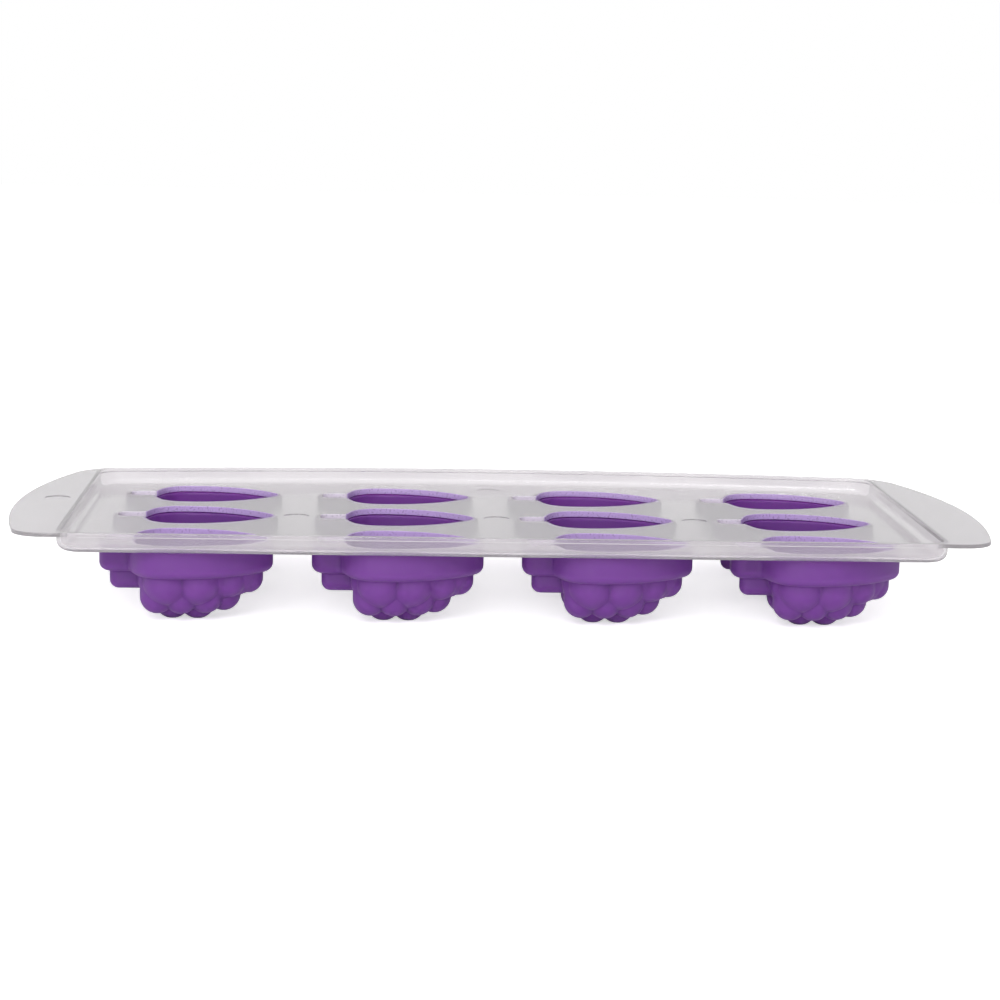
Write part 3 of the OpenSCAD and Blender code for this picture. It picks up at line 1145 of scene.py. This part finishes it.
@dataclass
class Mould:
    """The tray and its twelve cups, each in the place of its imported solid."""

    sizes: MouldSizes = field(default_factory=MouldSizes)
    rows: tuple[str, ...] = ("front", "middle", "back")

    def settle(self, piece: bpy.types.Object, node: str, slot: Slot) -> None:
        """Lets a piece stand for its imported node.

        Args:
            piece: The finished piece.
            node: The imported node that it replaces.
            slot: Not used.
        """
        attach(piece, "root")
        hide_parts(node)
        log.info("built %s in place of %s, %d faces", piece.name, node, len(piece.data.polygons))

    def build(self) -> None:
        """Builds and dresses every piece."""
        tray = Tray(self.sizes).build()
        for finish in (FROSTED_PLASTIC, COLLAR_PAINTED_SHOW_THROUGH, STEM_PAINTED_SHOW_THROUGH):
            tray.data.materials.append(finish.build())
        self.settle(tray, "tray", Slot.TRAY)
        cup, rubber, placing = SoftCup(self.sizes).build(), SOFT_RUBBER.build(), CupPlacing()
        for row, y in zip(self.rows, self.sizes.row_ys):
            for column, x in enumerate(self.sizes.column_xs, 1):
                piece = placing.place(f"soft_cup_{row}_{column}", cup, (x, y), rubber)
                self.settle(piece, f"cup_{row}_{column}", Slot.CUP)


@dataclass
class Studio:
    """Floor, world and lamps."""

    floor_size: float = 6.0
    floor_colour: Colour = (0.93, 0.93, 0.93)
    floor_glow: float = 0.60
    world_level: float = 0.68
    glass_share: float = 0.25

    def floor(self) -> bpy.types.Object:
        """Lays a pale floor that keeps the mould's shadow.

        Returns:
            The floor.
        """
        half = self.floor_size / 2
        mesh = bpy.data.meshes.new("floor")
        mesh.from_pydata(
            [(-half, -half, 0.0), (half, -half, 0.0), (half, half, 0.0), (-half, half, 0.0)],
            [],
            [(0, 1, 2, 3)],
        )
        floor = bpy.data.objects.new("floor", mesh)
        bpy.context.collection.objects.link(floor)
        material = bpy.data.materials.new("pale_floor")
        material.use_nodes = True
        nodes = NodeTree(material.node_tree)
        shader = material.node_tree.nodes["Principled BSDF"]
        shader.inputs["Base Color"].default_value = (*self.floor_colour, 1.0)
        shader.inputs["Roughness"].default_value = 0.9
        shader.inputs["Specular IOR Level"].default_value = 0.0
        shader.inputs["Emission Color"].default_value = (1.0, 1.0, 1.0, 1.0)
        nodes.link(self.seen(nodes, self.floor_glow), shader.inputs["Emission Strength"])
        mesh.materials.append(material)
        log.info("laid the floor")
        return floor

    def seen(self, nodes: NodeTree, strength: float) -> bpy.types.NodeSocket:
        """Gives a value that is there for what the camera sees, and in part for gloss and glass.

        Args:
            nodes: The tree to add to.
            strength: The value where it is seen.

        Returns:
            The value's output socket.
        """
        path = nodes.add("ShaderNodeLightPath")
        indirect, either = nodes.add("ShaderNodeMath"), nodes.add("ShaderNodeMath")
        indirect.operation = "MAXIMUM"
        nodes.link(path.outputs["Is Glossy Ray"], indirect.inputs[0])
        nodes.link(path.outputs["Is Transmission Ray"], indirect.inputs[1])
        either.operation = "MULTIPLY_ADD"
        nodes.link(indirect.outputs[0], either.inputs[0])
        either.inputs[1].default_value = self.glass_share
        nodes.link(path.outputs["Is Camera Ray"], either.inputs[2])
        scaled = nodes.add("ShaderNodeMath")
        scaled.operation = "MULTIPLY"
        scaled.inputs[1].default_value = strength
        nodes.link(either.outputs[0], scaled.inputs[0])
        return scaled.outputs[0]

    def world(self) -> None:
        """Sets an even pale surrounding that the camera sees as white."""
        world = bpy.data.worlds.new("studio")
        bpy.context.scene.world = world
        world.use_nodes = True
        nodes = NodeTree(world.node_tree)
        ground = world.node_tree.nodes["Background"]
        ground.inputs["Color"].default_value = (1.0, 1.0, 1.0, 1.0)
        lift = self.seen(nodes, 1.0 - self.world_level)
        total = nodes.add("ShaderNodeMath")
        total.operation = "ADD"
        total.inputs[1].default_value = self.world_level
        nodes.link(lift, total.inputs[0])
        nodes.link(total.outputs[0], ground.inputs["Strength"])

    def lamp(self, name: str, place: Colour, aim: Colour, size: float, watts: float) -> None:
        """Hangs one square soft lamp.

        Args:
            name: The lamp's name.
            place: Where it hangs.
            aim: The point it shines at.
            size: Its side length.
            watts: Its power.
        """
        data = bpy.data.lights.new(name, "AREA")
        data.size = size
        data.energy = watts
        lamp = bpy.data.objects.new(name, data)
        lamp.location = place
        lamp.rotation_euler = (Vector(aim) - Vector(place)).to_track_quat("-Z", "Y").to_euler()
        bpy.context.collection.objects.link(lamp)

    def build(self) -> None:
        """Builds the floor, the world and the lamps."""
        self.floor()
        self.world()
        self.lamp("overhead_soft_box", (-0.2, -0.1, 1.3), (0.0, 0.0, 0.0), 0.9, 1.5)
        self.lamp("high_soft_box", (-0.3, -1.15, 0.78), (0.0, 0.0, 0.01), 0.7, 9.5)
        self.lamp("front_soft_box", (-0.3, -1.25, 0.28), (0.0, 0.0, 0.01), 0.8, 3.5)
        log.info("lit the studio")


@dataclass
class PhotoCamera:
    """The camera that was fitted to the photograph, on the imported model's axes."""

    place: Colour = (-0.0401, -0.74825, 0.1493)
    azimuth: float = 3.16
    elevation: float = 9.20
    roll: float = 1.29
    focal_widths: float = 2.50955
    sensor: float = 36.0

    def build(self) -> bpy.types.Object:
        """Sets the camera up as the scene's own.

        Returns:
            The camera.
        """
        turn, tilt, roll = (math.radians(v) for v in (self.azimuth, self.elevation, self.roll))
        forward = Vector(
            (math.sin(turn) * math.cos(tilt), math.cos(turn) * math.cos(tilt), -math.sin(tilt))
        )
        level = Vector((math.cos(turn), -math.sin(turn), 0.0))
        upright = level.cross(forward)
        right = math.cos(roll) * level + math.sin(roll) * upright
        up = math.cos(roll) * upright - math.sin(roll) * level
        data = bpy.data.cameras.new("photo_camera")
        data.sensor_width = self.sensor
        data.lens = self.sensor * self.focal_widths
        camera = bpy.data.objects.new("photo_camera", data)
        axes = Matrix((right, up, -forward)).transposed().to_4x4()
        camera.matrix_world = Matrix.Translation(self.place) @ axes
        bpy.context.collection.objects.link(camera)
        bpy.context.scene.camera = camera
        log.info("set the camera")
        return camera


def main() -> None:
    """Builds the mould, lights it and sets the camera."""
    logging.basicConfig(level=logging.INFO, format="%(name)s: %(message)s")
    Mould().build()
    Studio().build()
    PhotoCamera().build()
    bpy.context.scene.view_settings.view_transform = "Standard"


if __name__ == "__main__":
    main()
